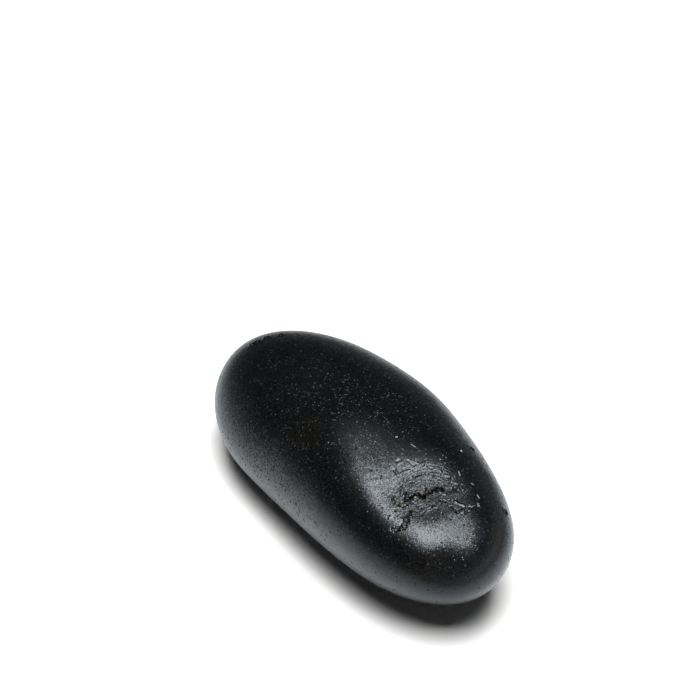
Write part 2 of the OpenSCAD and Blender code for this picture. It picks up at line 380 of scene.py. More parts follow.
# %% The zone of the scar
CROWN_FLOOR, SCAR_SPAN, WOBBLE_CELL = 20.0, 16.0, 1.1
skin_ab = to_scar(skin_p)
on_crown = skin_p[..., 2] > CROWN_FLOOR
scar_zone = on_crown & (np.abs(skin_ab) < SCAR_SPAN).all(-1)
zone_ab, zone_p = skin_ab[scar_zone], skin_p[scar_zone]
wobble = np.stack([noise(zone_p, WOBBLE_CELL, seed) for seed in (11, 12)], -1)
print("Points in the scar:", len(zone_ab))

# %% Strokes cut in and raised
BESIDE, BESIDE_SHARE = np.array([0.24, -0.30]), 0.7
STROKE_GAIN, STROKE_WOBBLE = 1.9, 0.15
# A fresh edge is narrower than its stroke, fainter beside a cut, and full from this height on, in mm.
EDGE_NARROWING, CUT_EDGE, FULL_EDGE_H = 1.6, 0.6, 0.12
# Strokes come and go along their length, and fresh edges come in flecks: cell in mm, mean and swing.
PATCH_CELL, PATCH_MEAN, PATCH_SWING = 0.9, 0.75, 0.5
FLECK_CELL, FLECK_MEAN, FLECK_SWING = 0.55, 0.1, 2.5
drawn_ab = zone_ab + STROKE_WOBBLE * wobble
patchy = PATCH_MEAN + PATCH_SWING * noise(zone_p, PATCH_CELL, 16)
flecked = np.clip(FLECK_MEAN + FLECK_SWING * noise(zone_p, FLECK_CELL, 21), 0, 1)
carve = np.zeros(len(zone_ab))
fresh_edge = np.zeros(len(zone_ab))
for width, height, line in STROKES:
    over = stroke_distance(drawn_ab, line) / width
    beside = stroke_distance(drawn_ab - BESIDE, line) / width
    carve += STROKE_GAIN * height * patchy * (np.exp(-(over**2)) - BESIDE_SHARE * np.exp(-(beside**2)))
    if height > 0:
        edge = np.exp(-((EDGE_NARROWING * over) ** 2))
    else:
        edge = CUT_EDGE * np.exp(-((EDGE_NARROWING * beside) ** 2))
    fresh_edge = np.maximum(fresh_edge, min(abs(height) / FULL_EDGE_H, 1) * edge * flecked)
print("Strokes in mm, lowest and highest:", carve.min().round(2), carve.max().round(2))

# %% Ripples, crumbs and the apron below the crack
# Each patch of the scar's plane: centre and reach in mm, and how sharp its edge is.
LOBE = ((0.6, 3.0), (7.0, 4.2), 4)
APRON = ((2.0, -4.0), (7.0, 3.0), 4)
RIPPLE_CENTRE, RIPPLE_H, RIPPLE_PITCH = np.array([0.8, -1.2]), 0.062, 0.85
RIPPLE_STRAY_CELL, RIPPLE_STRAY = 2.2, 0.35
RIPPLE_FADE_CELL, RIPPLE_MEAN, RIPPLE_SWING = 1.6, 0.6, 0.8
# Crumbs of the lobe and of the crack's rims: size and height in mm, and the level that stays in place.
LOBE_CRUMB, LOBE_CRUMB_H, LOBE_CRUMB_LEVEL = 0.42, 0.14, 0.4
RIM_CRUMB, RIM_CRUMB_H, RIM_CRUMB_LEVEL = 0.5, 0.16, 0.45
RIM_REACH, ROUTE_WOBBLE = 1.3, 0.2
# The apron's grain runs aslant: a turn of the plane, and a stretch along the grain.
GRAIN_TURN, GRAIN_STRETCH = np.array([[0.4, 0.9, 0.0], [-0.9, 0.4, 0.0]]), np.array([1.0, 0.35, 1.0])
APRON_GRAIN, APRON_GRAIN_H = 0.6, 0.03


def oval(p, centre, reach, power):
    """1 in the middle of an oval patch, falling to 0 past its reach, more sharply with a higher power."""
    return np.exp(-(((p - np.array(centre)) / np.array(reach)) ** power).sum(-1))


lobe = oval(zone_ab, *LOBE)
stray = RIPPLE_STRAY * noise(zone_p, RIPPLE_STRAY_CELL, 13)
ripple = np.linalg.norm(zone_ab - RIPPLE_CENTRE, axis=-1) + stray
fading = RIPPLE_MEAN + RIPPLE_SWING * noise(zone_p, RIPPLE_FADE_CELL, 17)
carve += lobe * RIPPLE_H * np.sin(ripple * 2 * math.pi / RIPPLE_PITCH) * fading
carve += lobe * LOBE_CRUMB_H * (crumbs(zone_p, LOBE_CRUMB, 14) - LOBE_CRUMB_LEVEL)
fissure_far = stroke_distance(zone_ab + ROUTE_WOBBLE * wobble, FISSURE)
broken = np.exp(-((fissure_far / RIM_REACH) ** 2))
carve += broken * RIM_CRUMB_H * (crumbs(zone_p, RIM_CRUMB, 15) - RIM_CRUMB_LEVEL)
apron = oval(zone_ab, *APRON)
carve += apron * APRON_GRAIN_H * noise((zone_ab @ GRAIN_TURN) * GRAIN_STRETCH, APRON_GRAIN, 18)
print("Broken rock in mm, lowest and highest:", carve.min().round(2), carve.max().round(2))

# %% Seats for the crusts
JAG_CELL, JAG = 0.4, 0.12
# Each seat: route, half width and depth in mm. The crack is deepest in the middle.
SEATS = ((FISSURE[:8], 0.28, 0.4), (FISSURE[7:19], 0.50, 1.3), (FISSURE[18:], 0.26, 0.35),
         (HOOK, 0.28, 0.4), (SIDE, 0.32, 0.4))
jags = np.stack([noise(zone_p, JAG_CELL, seed) for seed in (19, 20)], -1)
jagged_ab = zone_ab + ROUTE_WOBBLE * wobble + JAG * jags
for route, half_width, cut in SEATS:
    carve -= cut * np.exp(-((stroke_distance(jagged_ab, route) / half_width) ** 4))
depth[scar_zone] += carve
print("Scar depth in mm, lowest and highest:", carve.min().round(2), carve.max().round(2))

# %% [markdown]
# ## Where the finish changes
# Tumbling polishes what stands proud, and leaves the scar dull, the front flank pitted, fresh edges pale
# and a few places stained brown. Pale specks gathered on the crown are painted glints, and round the scar
# they are partly painted glints, partly pale grains. Painted masks would need images. A number stored on
# each point of the mesh says the same, and the material reads it by its name.

# %% Marks for the material
# Patches beside the scar and on the near end that shine less, then where pale specks gather, on the scar's
# plane or seen from above: centre and reach in mm, and how sharp the edge is. On the crown these specks are
# painted glints; round the scar they are partly pale grains, partly painted glints.
DULL_SIDE = ((9.5, -0.5), (4.5, 6.5), 2)
WORN_END = ((6.0, -13.0), (6.0, 4.5), 2)
SCAR_GLINTS_AND_GRAINS = ((1.0, 3.0), (11.0, 9.0), 4)
GLINT_CROWN = ((0.0, -2.0), (20.0, 14.0), 2)
DULL_SIDE_SHARE, WORN_END_SHARE, APRON_SHARE = 0.9, 1.2, 0.8
PITTED_PLACE, PITTED_REACH = (80, 160), (18.0, 8.0, 8.0)
# Each stain: station and turn in degrees, and reach in mm.
STAINS = ((88, 130, 7.0), (148, 143, 5.0), (156, 40, 5.0))
unpolished = np.zeros(depth.shape)
dull_side = DULL_SIDE_SHARE * oval(zone_ab, *DULL_SIDE)
unpolished[scar_zone] = np.maximum.reduce([lobe, APRON_SHARE * apron, broken, dull_side])
chipped = np.zeros(depth.shape)
chipped[scar_zone] = fresh_edge
marks = {
    "unpolished": np.maximum(unpolished, WORN_END_SHARE * oval(skin_ab, *WORN_END) * on_crown),
    # Where more specks turn pale: painted glints on the crown, partly pale grains round the scar.
    "glints_and_pale_grains": np.maximum(oval(skin_p[..., :2], *GLINT_CROWN), oval(skin_ab, *SCAR_GLINTS_AND_GRAINS)) * on_crown,
    "pitted": oval(skin_p, skin_at(*PITTED_PLACE), PITTED_REACH, 2),
    "chipped": chipped,
    "stained": np.maximum.reduce([oval(skin_p, skin_at(t, v), reach, 2) for t, v, reach in STAINS]),
}
print("Mean of each mark:", {name: amount.mean().round(3) for name, amount in marks.items()})

# %% [markdown]
# ## Pores and nicks
# Gas left pores in the lava, and knocks left a few nicks along the rim. Booleans would cut each one
# cleanly, at a high cost in faces; instead the points near it sink by a bell curve. The pores lie at
# random with a fixed seed, spread by the stone's girth, and the nicks are listed one by one.

# %% Pores
PORES, PORE_SEED = 700, 7
PORE_DRAWS = 6 * PORES
PORE_R, PORE_R_SPREAD, PORE_R_POWER = 0.12, 0.20, 4
PORE_REACH, PORE_DEPTH, PORE_STEEPNESS = 1.4, 0.55, 2
rng = np.random.default_rng(PORE_SEED)
pore_rows = rng.integers(0, grid_t.shape[0], PORE_DRAWS)
pore_cols = rng.integers(0, grid_t.shape[1], PORE_DRAWS)
keep = rng.random(PORE_DRAWS) < np.sin(stations[pore_rows])
pore_rows, pore_cols = pore_rows[keep][:PORES], pore_cols[keep][:PORES]
finder = KDTree(grid_t.size)
for index, point in enumerate(skin_p.reshape(-1, 3).tolist()):
    finder.insert(point, index)
finder.balance()
# A flat view of the same numbers, so what changes in it changes in depth too.
flat_depth = depth.reshape(-1)
for row, col in zip(pore_rows, pore_cols):
    radius = PORE_R + PORE_R_SPREAD * rng.random() ** PORE_R_POWER
    for _, index, far in finder.find_range(skin_p[row, col].tolist(), radius * PORE_REACH):
        flat_depth[index] -= PORE_DEPTH * radius * math.exp(-((far / radius) ** 2) * PORE_STEEPNESS)
print("Pores:", len(pore_rows))

# %% Nicks in the rim
# Each nick: station and turn in degrees, and reach in mm. A low lip of pushed-up rock rings it.
NICKS = ((139.5, 30.0, 0.8), (36.6, 109.5, 0.9), (37.4, 105.5, 0.8), (37.6, 97.5, 0.7), (40.6, 88.5, 0.6),
         (113.2, 43.5, 0.7))
NICK_DEPTH, LIP_H, LIP_AT, LIP_SHARPNESS = 0.65, 0.25, 1.3, 6
for station, turn, reach in NICKS:
    for _, index, far in finder.find_range(skin_at(station, turn).tolist(), 2 * reach):
        lip = math.exp(-LIP_SHARPNESS * (far / reach - LIP_AT) ** 2)
        flat_depth[index] += LIP_H * lip - NICK_DEPTH * math.exp(-((far / reach) ** 2))
print("Relief of the whole skin in mm:", depth.min().round(2), depth.max().round(2))

# %% [markdown]
# ## The stone's mesh
# The cobble is one closed skin. Remeshing the CAD solid would give even faces, with none to spare for the
# scar. So the grid's points move out or in along their normals, four neighbours make a face, and a fan of
# triangles closes each tip. What lies below the table is pressed up to it, which leaves the small flat that
# the stone rests on.


# %% The tumbled stone
def new_object(name, points, faces, smooth=True):
    mesh = bpy.data.meshes.new(name)
    mesh.from_pydata((np.asarray(points) * MM).tolist(), [], faces)
    mesh.polygons.foreach_set("use_smooth", [smooth] * len(mesh.polygons))
    mesh.update()
    obj = bpy.data.objects.new(name, mesh)
    bpy.context.scene.collection.objects.link(obj)
    return obj


carved = skin_p + depth[..., None] * skin_n
carved[..., 2] = np.maximum(carved[..., 2], 0.0)
tips = skin(np.array([0.0, math.pi]), np.zeros(2))
far_tip, near_tip = grid_t.size, grid_t.size + 1
ids = np.arange(grid_t.size).reshape(grid_t.shape)
after = np.roll(ids, -1, axis=1)
quads = np.stack([ids[:-1], after[:-1], after[1:], ids[1:]], -1).reshape(-1, 4).tolist()
far_fan = [[far_tip, b, a] for a, b in zip(ids[0].tolist(), after[0].tolist())]
near_fan = [[near_tip, a, b] for a, b in zip(ids[-1].tolist(), after[-1].tolist())]
stone_points = np.concatenate([carved.reshape(-1, 3), tips])
stone = new_object("tumbled_stone", stone_points, quads + far_fan + near_fan)
for mark, amount in marks.items():
    attribute = stone.data.attributes.new(mark, "FLOAT", "POINT")
    attribute.data.foreach_set("value", np.append(amount.ravel(), np.zeros(len(tips))))
print("Stone faces:", len(stone.data.polygons), "marks:", len(marks))

# %% [markdown]
# ## Crusts in the scar
# Iron-stained crust lines the fissure and forms two scabs beside it: dark soil below, pale broken crumbs
# on top. The soil's near-black is partly painted shade, standing for the shade deep in the crack. Painting
# the stone would leave it flat and in the stone's own finish, so each crust is a closed strip of soil, laid
# along its route in the seat carved for it, with small broken cubes strewn over it.


# %% Strips and crumbs
def tube_mesh(ring_points):
    """Points and faces of a closed piece through rings of points, in mm."""
    count, around = ring_points.shape[:2]
    ring_ids = np.arange(count * around).reshape(count, around)
    beside_ids = np.roll(ring_ids, -1, axis=1)
    walls = np.stack([ring_ids[:-1], ring_ids[1:], beside_ids[1:], beside_ids[:-1]], -1)
    faces = walls.reshape(-1, 4).tolist() + [ring_ids[0].tolist(), ring_ids[-1][::-1].tolist()]
    return ring_points.reshape(-1, 3), faces


def resample(route, spacing):
    """Points at an even spacing along a route, and how far along it each one lies, in mm."""
    route = np.array(route, dtype=float)
    lengths = np.concatenate([[0], np.cumsum(np.linalg.norm(np.diff(route, axis=0), axis=1))])
    at = np.linspace(0, lengths[-1], int(lengths[-1] / spacing) + 1)
    return np.stack([np.interp(at, lengths, route[:, n]) for n in range(2)], -1), at


CRUMB_FACES = np.array([[0, 1, 3, 2], [4, 6, 7, 5], [0, 4, 5, 1], [2, 3, 7, 6], [0, 2, 6, 4], [1, 5, 7, 3]])
CRUMB_CORNERS = np.array(list(np.ndindex(2, 2, 2))) - 0.5
CRUMB_SQUEEZE, CRUMB_CHIP = (0.6, 1.3), (-0.15, 0.15)


def crumb_shell(middle, size, spin):
    """Corners of one broken crumb: a cube squeezed, turned and chipped at random."""
    squeezed = CRUMB_CORNERS * spin.uniform(*CRUMB_SQUEEZE, 3)
    corners = squeezed + spin.uniform(*CRUMB_CHIP, CRUMB_CORNERS.shape)
    turn, _ = np.linalg.qr(spin.normal(size=(3, 3)))
    if np.linalg.det(turn) < 0:
        turn[:, 0] = -turn[:, 0]
    return middle + size * corners @ turn.T


STRIP_SPACING = 0.1
print("Length of the fissure in mm:", resample(FISSURE, STRIP_SPACING)[1][-1].round(1))

# %% Strip of soil
STRIP_POINTS, STRIP_RAGGED, RAGGED_CELL = 11, 0.4, 0.7
SOIL_SUNK, SOIL_UNEVEN, SOIL_CELL, SOIL_THICK = 0.22, 0.12, 0.45, 0.6
SLIT_SHARE = 0.7


def spread_along(share, values):
    """Values spread evenly along a route, read at shares of its length."""
    return np.interp(share, np.linspace(0, 1, len(values)), values)


def soil_strip(line, side, half, slit, deepest, run, seed):
    """Rings of points across a route; the crack sinks their tops by slit, in mm, deepest at most."""
    across = np.linspace(-1, 1, STRIP_POINTS)
    ragged = half * (1 + STRIP_RAGGED * noise(run, RAGGED_CELL, seed))
    t, v = from_scar(line[:, None] + side[:, None] * (ragged[:, None] * across)[..., None])
    base, normal = skin(t, v), outward(t, v)
    crack = slit[:, None] * np.exp(-((across / SLIT_SHARE) ** 4))
    high = SOIL_UNEVEN * noise(base, SOIL_CELL, seed + 1) - SOIL_SUNK - crack
    upper = base + high[..., None] * normal
    lower = base - (deepest + SOIL_THICK) * normal
    return np.concatenate([upper, lower[:, ::-1][:, 1:-1]], axis=1)


print("Points in each ring of soil:", 2 * STRIP_POINTS - 2)

# %% The three crusts
CRUMB_SIZE, CRUMB_SEAT = (0.22, 0.55), (-0.2, 0.02)
# Crumbs keep to the rims of an open crack and lie anywhere on a scab, in shares of the half width.
OPEN_SLIT, ON_RIM, ON_SCAB = 0.5, (0.6, 1.2), (0.0, 1.1)
# Widths of the soil and depths of the crack, in mm, spread evenly along each route.
FISSURE_WIDTHS = (0.3, 0.5, 0.8, 1.3, 1.3, 1.3, 1.7, 1.1, 0.7, 0.4)
FISSURE_SLITS = (0.0, 0.0, 0.2, 1.3, 1.3, 1.3, 1.4, 0.2, 0.0, 0.0)
HOOK_WIDTHS = (0.3, 0.5, 0.7, 0.7, 0.6, 0.5, 0.4)
SIDE_WIDTHS = (0.4, 0.5, 0.6, 0.9, 1.0, 0.8, 0.5, 0.5)
NO_SLIT = (0.0,)


def crust(name, route, widths, slits, crumb_count, seed):
    """Dark soil along a route, with crumbs on it; widths and the crack's depths are spread along it."""
    line, at = resample(route, STRIP_SPACING)
    heading = unit(np.gradient(line, axis=0))
    side = np.stack([-heading[:, 1], heading[:, 0]], -1)
    run = np.stack([at, np.full_like(at, seed * 10.0), np.zeros_like(at)], -1)
    half = spread_along(at / at[-1], widths) / 2
    slit = spread_along(at / at[-1], slits)
    soil_points, faces = tube_mesh(soil_strip(line, side, half, slit, max(slits), run, seed))
    spin = np.random.default_rng(seed)
    shells = []
    for row in np.sort(spin.integers(0, len(line), crumb_count)):
        size = spin.uniform(*CRUMB_SIZE)
        reach = half[row] * spin.uniform(*(ON_RIM if slit[row] > OPEN_SLIT else ON_SCAB))
        t, v = from_scar(line[row] + side[row] * reach * spin.choice([-1, 1]))
        shells.append(crumb_shell(skin(t, v) + spin.uniform(*CRUMB_SEAT) * outward(t, v), size, spin))
    for n in range(len(shells)):
        faces += (CRUMB_FACES + len(soil_points) + len(CRUMB_CORNERS) * n).tolist()
    obj = new_object(name, np.concatenate([soil_points] + shells), faces, smooth=False)
    is_soil = np.arange(len(obj.data.vertices)) < len(soil_points)
    obj.data.attributes.new("soil", "FLOAT", "POINT").data.foreach_set("value", is_soil.astype(float))
    return obj


fissure_crust = crust("fissure_crust_crumbs", FISSURE, FISSURE_WIDTHS, FISSURE_SLITS, crumb_count=170,
                      seed=20)
hook_crust = crust("hook_crust_crumbs", HOOK, HOOK_WIDTHS, NO_SLIT, crumb_count=60, seed=30)
side_crust = crust("side_crust_crumbs", SIDE, SIDE_WIDTHS, NO_SLIT, crumb_count=80, seed=40)
CRUSTS = (fissure_crust, hook_crust, side_crust)
print("Crust faces:", [len(obj.data.polygons) for obj in CRUSTS])

# %% [markdown]
# ## Feldspar crystals
# A few pale crystals show as short bars and dots. Rods and balls would look like beads. Feldspar grows as
# flat laths, so a bar is a six-sided prism with cut tips, sunk in the skin up to its top; a dot is the end
# of such a crystal, eight-sided and nearly round.

# %% Laths and grains
# Each lath has two tips and each grain one place: station and turn in degrees.
LATHS = {
    "crown_lath": ((109.5, 88.5), (111.5, 87.0)),
    "upper_lath": ((124.0, 69.5), (126.0, 70.0)),
    "right_lath": ((129.5, 64.0), (130.5, 61.5)),
    "low_lath": ((134.5, 63.0), (136.5, 62.0)),
}
GRAINS = {"crown_grain": (105.5, 93.0), "back_grain": (116.0, 58.5)}
LATH_W, LATH_D, LATH_SIDES = 0.45, 0.5, 6
GRAIN_L, GRAIN_W, GRAIN_D, GRAIN_SIDES = 0.8, 0.9, 0.7, 8
CRYSTAL_PROUD = 0.1
# Rings along a crystal: share of its length, and size against the middle.
CRYSTAL_RINGS = ((0.0, 0.55), (0.08, 0.95), (0.5, 1.0), (0.92, 0.9), (1.0, 0.5))


def crystal(name, start, end, width, deep, sides):
    along = unit(end - start)
    up = unit(scar_n - along * (scar_n @ along))
    across = np.cross(up, along)
    angle = np.linspace(0, 2 * math.pi, sides, endpoint=False)[:, None] + math.pi / sides
    outline = np.cos(angle) * across * width / 2 + np.sin(angle) * up * (CRYSTAL_PROUD + deep) / 2
    sink = up * (CRYSTAL_PROUD - deep) / 2
    ring_points = [start + (end - start) * share + sink + outline * size for share, size in CRYSTAL_RINGS]
    return new_object(name, *tube_mesh(np.array(ring_points)), smooth=False)


crystals = {}
for name, (start, end) in LATHS.items():
    crystals[name] = crystal(name + "_bar", skin_at(*start), skin_at(*end), LATH_W, LATH_D, LATH_SIDES)
for name, place in GRAINS.items():
    half_l = scar_a * GRAIN_L / 2
    start, end = skin_at(*place) - half_l, skin_at(*place) + half_l
    crystals[name] = crystal(name + "_dot", start, end, GRAIN_W, GRAIN_D, GRAIN_SIDES)
print("Crystals:", list(crystals))

# %% [markdown]
# ## Every piece rides on the stone
# Nothing moves on a stone. The pieces could be joined into one mesh, but each keeps its own name, so that
# it can stand for its CAD node, whose imported part is hidden. All of them ride on the one body.

# %% Ride and replace
DRESSED = {"stone_body": stone, "fissure_crust": fissure_crust, "hook_crust": hook_crust,
           "side_crust": side_crust}
DRESSED.update(crystals)
for node_name, obj in DRESSED.items():
    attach(obj, "root")
    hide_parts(node_name)
print("Pieces:", len(DRESSED))

# %% [markdown]
# ## Materials
# Colours are written as sRGB hex, the way a colour picker reads them, and turned to the linear values the
# shader wants. One small helper adds a node, sets it and links it, so that each call below is one node.


# %% Colour and node helpers
def linear(hex_text):
    channels = [int(hex_text[i : i + 2], 16) / 255 for i in (1, 3, 5)]
    return [c / 12.92 if c <= 0.04045 else ((c + 0.055) / 1.055) ** 2.4 for c in channels] + [1.0]


def add(tree, kind, inputs=(), **settings):
    """Adds a node; inputs maps a socket to a value or to another node's output."""
    node = tree.nodes.new(kind)
    for key, value in settings.items():
        setattr(node, key, value)
    for key, value in dict(inputs).items():
        if isinstance(value, bpy.types.NodeSocket):
            tree.links.new(value, node.inputs[key])
        else:
            node.inputs[key].default_value = value
    return node


def per_mm(size_mm):
    """Texture scale for a pattern whose cells are size_mm wide."""
    return 1 / (size_mm * MM)


def new_material(name):
    material = bpy.data.materials.new(name)
    material.use_nodes = True
    material.node_tree.nodes.clear()
    return material, material.node_tree


# The Mix node's two colour inputs and its colour output have these numbers.
MIX_A, MIX_B, MIX_OUT = 6, 7, 2
print("White in linear values:", linear("#ffffff"))

# %% [markdown]
# ### Tumbled basalt
# Basalt is a dense, fine-grained lava, nearly black, of tiny feldspar and pyroxene crystals. One flat
# colour with gloss would look like plastic. Tumbling and oil leave a satin gloss that is broken by pores
# and by the grain, so the material is built from the grains up: their colour, their pale few, their facets.

# %% Rock colour and stains
# Iron stains are clouds some 5 mm wide, a little browner than the rock.
STAIN_MM = 5.0
basalt, tree = new_material("tumbled_basalt")
where = add(tree, "ShaderNodeTexCoord").outputs["Object"]
stain_cloud = add(tree, "ShaderNodeTexNoise", {"Vector": where, "Scale": per_mm(STAIN_MM), "Detail": 3.0})
stain_edge = add(tree, "ShaderNodeMapRange", {"Value": stain_cloud.outputs["Fac"],
                                              "From Min": 0.35, "From Max": 0.60})
stain_mark = add(tree, "ShaderNodeAttribute", attribute_name="stained")
stain = add(tree, "ShaderNodeMath", {0: stain_edge.outputs["Result"], 1: stain_mark.outputs["Fac"]},
            operation="MULTIPLY")
rock = add(tree, "ShaderNodeMix", {"Factor": stain.outputs["Value"], MIX_A: linear("#0d0f10"),
                                   MIX_B: linear("#16130c")}, data_type="RGBA")
print("Stain clouds:", STAIN_MM, "mm")

# %% Mineral grains and pale specks
# Real grains are about 0.05 to 0.2 mm, too fine to show, so they are drawn at 0.26 mm. A high power of each
# grain's random draw leaves about one in fifty pale; they gather in clusters, most of all near the scar. On
# the crown and round the scar many more turn pale: painted glints, partly pale grains by the scar.
GRAIN_MM, CLUSTER_MM, SPECK_POWER, SCAR_SPECKS = 0.26, 4.0, 48.0, 0.50
unpolished_mark = add(tree, "ShaderNodeAttribute", attribute_name="unpolished")
glint_and_grain_mark = add(tree, "ShaderNodeAttribute", attribute_name="glints_and_pale_grains")
chip_mark = add(tree, "ShaderNodeAttribute", attribute_name="chipped")
grains = add(tree, "ShaderNodeTexVoronoi", {"Vector": where, "Scale": per_mm(GRAIN_MM)})
draw = add(tree, "ShaderNodeTexWhiteNoise", {"Vector": grains.outputs["Position"]})
shade = add(tree, "ShaderNodeMapRange", {"Value": draw.outputs["Value"], "To Min": 0.0, "To Max": 2.2})
grain_colour = add(tree, "ShaderNodeVectorMath", {0: rock.outputs[MIX_OUT],
                                                  "Scale": shade.outputs["Result"]}, operation="SCALE")
cloud = add(tree, "ShaderNodeTexNoise", {"Vector": where, "Scale": per_mm(CLUSTER_MM), "Detail": 3.0})
clusters = add(tree, "ShaderNodeMapRange", {"Value": cloud.outputs["Fac"], "From Min": 0.40,
                                            "From Max": 0.65, "To Min": 0.15, "To Max": 1.5})
rare = add(tree, "ShaderNodeMath", {0: draw.outputs["Value"], 1: SPECK_POWER}, operation="POWER")
# Painted glints: the share of pale specks rises on the crown and round the scar, partly pale grains there.
grain_and_glint_share = add(tree, "ShaderNodeMapRange", {"Value": glint_and_grain_mark.outputs["Fac"], "To Min": 0.06,
                                              "To Max": 0.80})
paler = add(tree, "ShaderNodeMath", {0: unpolished_mark.outputs["Fac"], 1: SCAR_SPECKS,
                                     2: grain_and_glint_share.outputs["Result"]}, operation="MULTIPLY_ADD")
clustered = add(tree, "ShaderNodeMath", {0: rare.outputs["Value"], 1: clusters.outputs["Result"]},
                operation="MULTIPLY")
specks = add(tree, "ShaderNodeMath", {0: clustered.outputs["Value"], 1: paler.outputs["Value"]},
             operation="MULTIPLY")
pale_grains_chips_and_glints = add(tree, "ShaderNodeMath", {0: specks.outputs["Value"], 1: chip_mark.outputs["Fac"]},
                 operation="MAXIMUM")
speckled = add(tree, "ShaderNodeMix", {"Factor": pale_grains_chips_and_glints.outputs["Value"],
                                       MIX_A: grain_colour.outputs["Vector"],
                                       MIX_B: linear("#9aa2a6")}, data_type="RGBA")
print("Grains:", GRAIN_MM, "mm in clusters of", CLUSTER_MM, "mm")

# %% Pores and fine grain
# Pores sit in cells 0.9 mm wide and are about half a millimetre across, most of them on the pitted flank.
PORE_MM, FINE_GRAIN_MM = 0.9, 0.35
pit_mark = add(tree, "ShaderNodeAttribute", attribute_name="pitted")
pore_cells = add(tree, "ShaderNodeTexVoronoi", {"Vector": where, "Scale": per_mm(PORE_MM)})
pore_lot = add(tree, "ShaderNodeTexWhiteNoise", {"Vector": pore_cells.outputs["Position"]})
pore_share = add(tree, "ShaderNodeMapRange", {"Value": pit_mark.outputs["Fac"], "To Min": 0.07,
                                              "To Max": 0.65})
is_pore = add(tree, "ShaderNodeMath", {0: pore_lot.outputs["Value"], 1: pore_share.outputs["Result"]},
              operation="LESS_THAN")
pore_disc = add(tree, "ShaderNodeMapRange", {"Value": pore_cells.outputs["Distance"], "From Min": 0.40,
                                             "From Max": 0.25})
pore = add(tree, "ShaderNodeMath", {0: pore_disc.outputs["Result"], 1: is_pore.outputs["Value"]},
           operation="MULTIPLY")
pits = add(tree, "ShaderNodeBump", {"Height": pore.outputs["Value"], "Strength": 0.5,
                                    "Distance": -0.10 * MM})
fine_grain = add(tree, "ShaderNodeTexNoise", {"Vector": where, "Scale": per_mm(FINE_GRAIN_MM),
                                              "Detail": 2.0, "Roughness": 0.6})
bump = add(tree, "ShaderNodeBump", {"Height": fine_grain.outputs["Fac"], "Strength": 0.12,
                                    "Distance": 0.08 * MM, "Normal": pits.outputs["Normal"]})
print("Pore spacing:", PORE_MM, "mm, fine grain:", FINE_GRAIN_MM, "mm")

# %% Leaning facets
# Each grain's polished face leans its own way, which is what makes the highlights look dusty. Real faces
# are as fine as the grains, so they are drawn at 0.20 mm. A few lean far and glint or go dark.
FACET_MM, PITTED_LEAN, SCAR_LEAN = 0.20, 0.24, 0.22
facets = add(tree, "ShaderNodeTexVoronoi", {"Vector": where, "Scale": per_mm(FACET_MM)})
chance = add(tree, "ShaderNodeTexWhiteNoise", {"Vector": facets.outputs["Position"]})
tilt = add(tree, "ShaderNodeMapRange", {"Value": chance.outputs["Value"], "From Min": 0.92, "From Max": 1.0,
                                        "To Min": 0.11, "To Max": 0.60})
flank_tilt = add(tree, "ShaderNodeMath", {0: pit_mark.outputs["Fac"], 1: PITTED_LEAN,
                                          2: tilt.outputs["Result"]}, operation="MULTIPLY_ADD")
all_tilt = add(tree, "ShaderNodeMath", {0: unpolished_mark.outputs["Fac"], 1: SCAR_LEAN,
                                        2: flank_tilt.outputs["Value"]}, operation="MULTIPLY_ADD")
heading = add(tree, "ShaderNodeVectorMath", {0: facets.outputs["Color"], 1: (0.5, 0.5, 0.5)},
              operation="SUBTRACT")
lean = add(tree, "ShaderNodeVectorMath", {0: heading.outputs["Vector"], "Scale": all_tilt.outputs["Value"]},
           operation="SCALE")
leaning = add(tree, "ShaderNodeVectorMath", {0: bump.outputs["Normal"], 1: lean.outputs["Vector"]},
              operation="ADD")
facet_normal = add(tree, "ShaderNodeVectorMath", {0: leaning.outputs["Vector"]}, operation="NORMALIZE")
print("Facets:", FACET_MM, "mm")

# %% Satin gloss
# Dense basalt has an index of about 1.6. The gloss is satin and slightly cool, and dull in pores and scar.
BASALT_IOR, PORE_DULL, SCAR_DULL = 1.61, 0.6, 0.14
satin = add(tree, "ShaderNodeMapRange", {"Value": cloud.outputs["Fac"], "From Min": 0.3, "From Max": 0.7,
                                         "To Min": 0.225, "To Max": 0.255})
dull_pores = add(tree, "ShaderNodeMath", {0: pore.outputs["Value"], 1: PORE_DULL,
                                          2: satin.outputs["Result"]}, operation="MULTIPLY_ADD")
roughness = add(tree, "ShaderNodeMath", {0: unpolished_mark.outputs["Fac"], 1: SCAR_DULL,
                                         2: dull_pores.outputs["Value"]}, operation="MULTIPLY_ADD")
shader = add(tree, "ShaderNodeBsdfPrincipled", {"Base Color": speckled.outputs[MIX_OUT],
                                                "Roughness": roughness.outputs["Value"],
                                                "IOR": BASALT_IOR, "Specular Tint": linear("#f8fbff"),
                                                "Normal": facet_normal.outputs["Vector"]})
add(tree, "ShaderNodeOutputMaterial", {"Surface": shader.outputs["BSDF"]})
stone.data.materials.append(basalt)
print("Basalt nodes:", len(tree.nodes))

# %% [markdown]
# ### Weathered iron crust
# Where water sat in the crack, iron weathered to a crumbly crust: nearly black soil with grey to pale
# crumbs. The soil's near-black is partly the crust's own colour and partly painted shade of the deep crack.
# A noise would blur the crumbs into each other, so a cell pattern gives each one a colour and a
# dullness of its own, and a mark on the mesh tells the soil from the crumbs.

